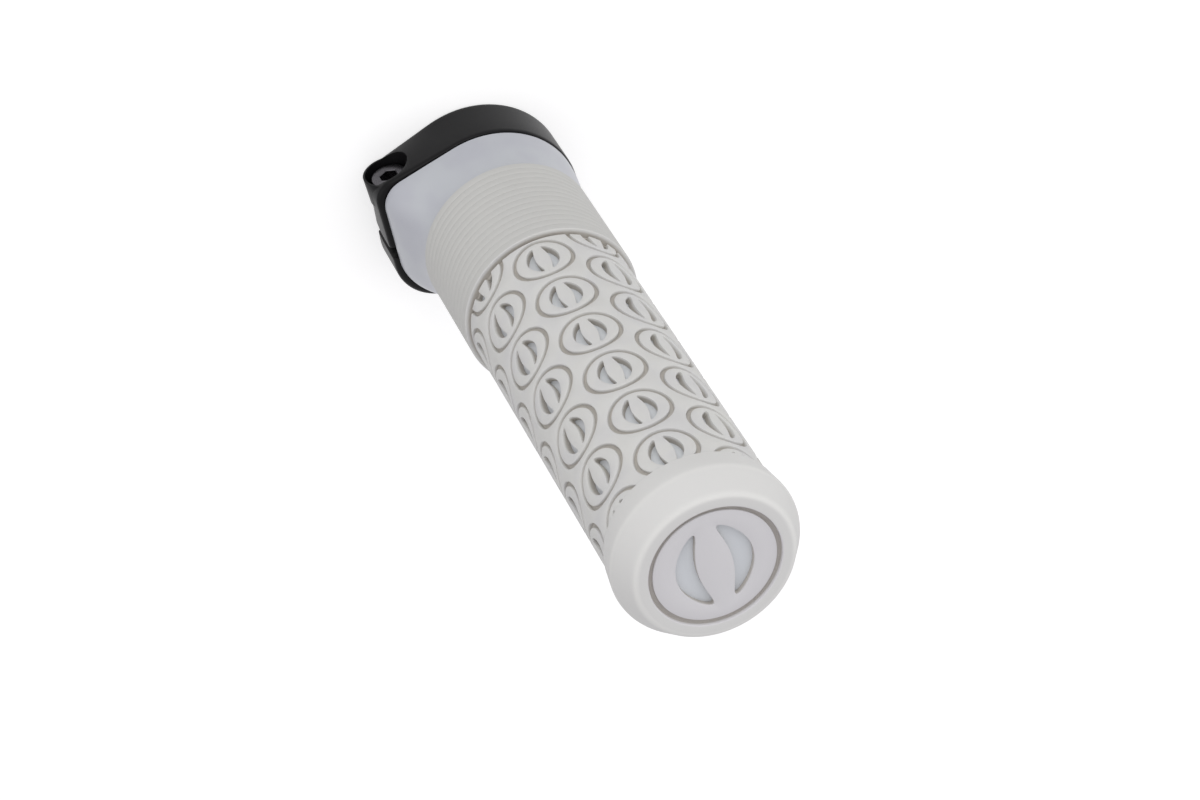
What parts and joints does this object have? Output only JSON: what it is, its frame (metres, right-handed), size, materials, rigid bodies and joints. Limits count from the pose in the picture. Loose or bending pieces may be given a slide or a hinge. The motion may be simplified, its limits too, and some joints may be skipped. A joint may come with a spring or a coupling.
{
  "type": "handlebar grip",
  "caption": "Lock-on bicycle handlebar grip: soft tread sleeve with a closed bumper end on a plastic core, held by a split clamp ring and its bolt.",
  "frame": {"origin": "centre of the bar's bore at the clamp ring's inboard face", "axes": "+Z along the bar towards the closed end, +X towards the clamp's slit"},
  "size_m": [0.0378, 0.0348, 0.1284],
  "materials": {
    "skin_rubber": "satin pale grey rubber",
    "core_plastic": "smooth cool grey hard plastic",
    "clamp_metal": "satin black anodised",
    "bolt_steel": "dark plated steel"
  },
  "bodies": {
    "root": {"rubber_skin": "skin_rubber", "grip_core": "core_plastic", "clamp_ring": "clamp_metal", "clamp_bolt": "bolt_steel"}
  },
  "joints": []
}
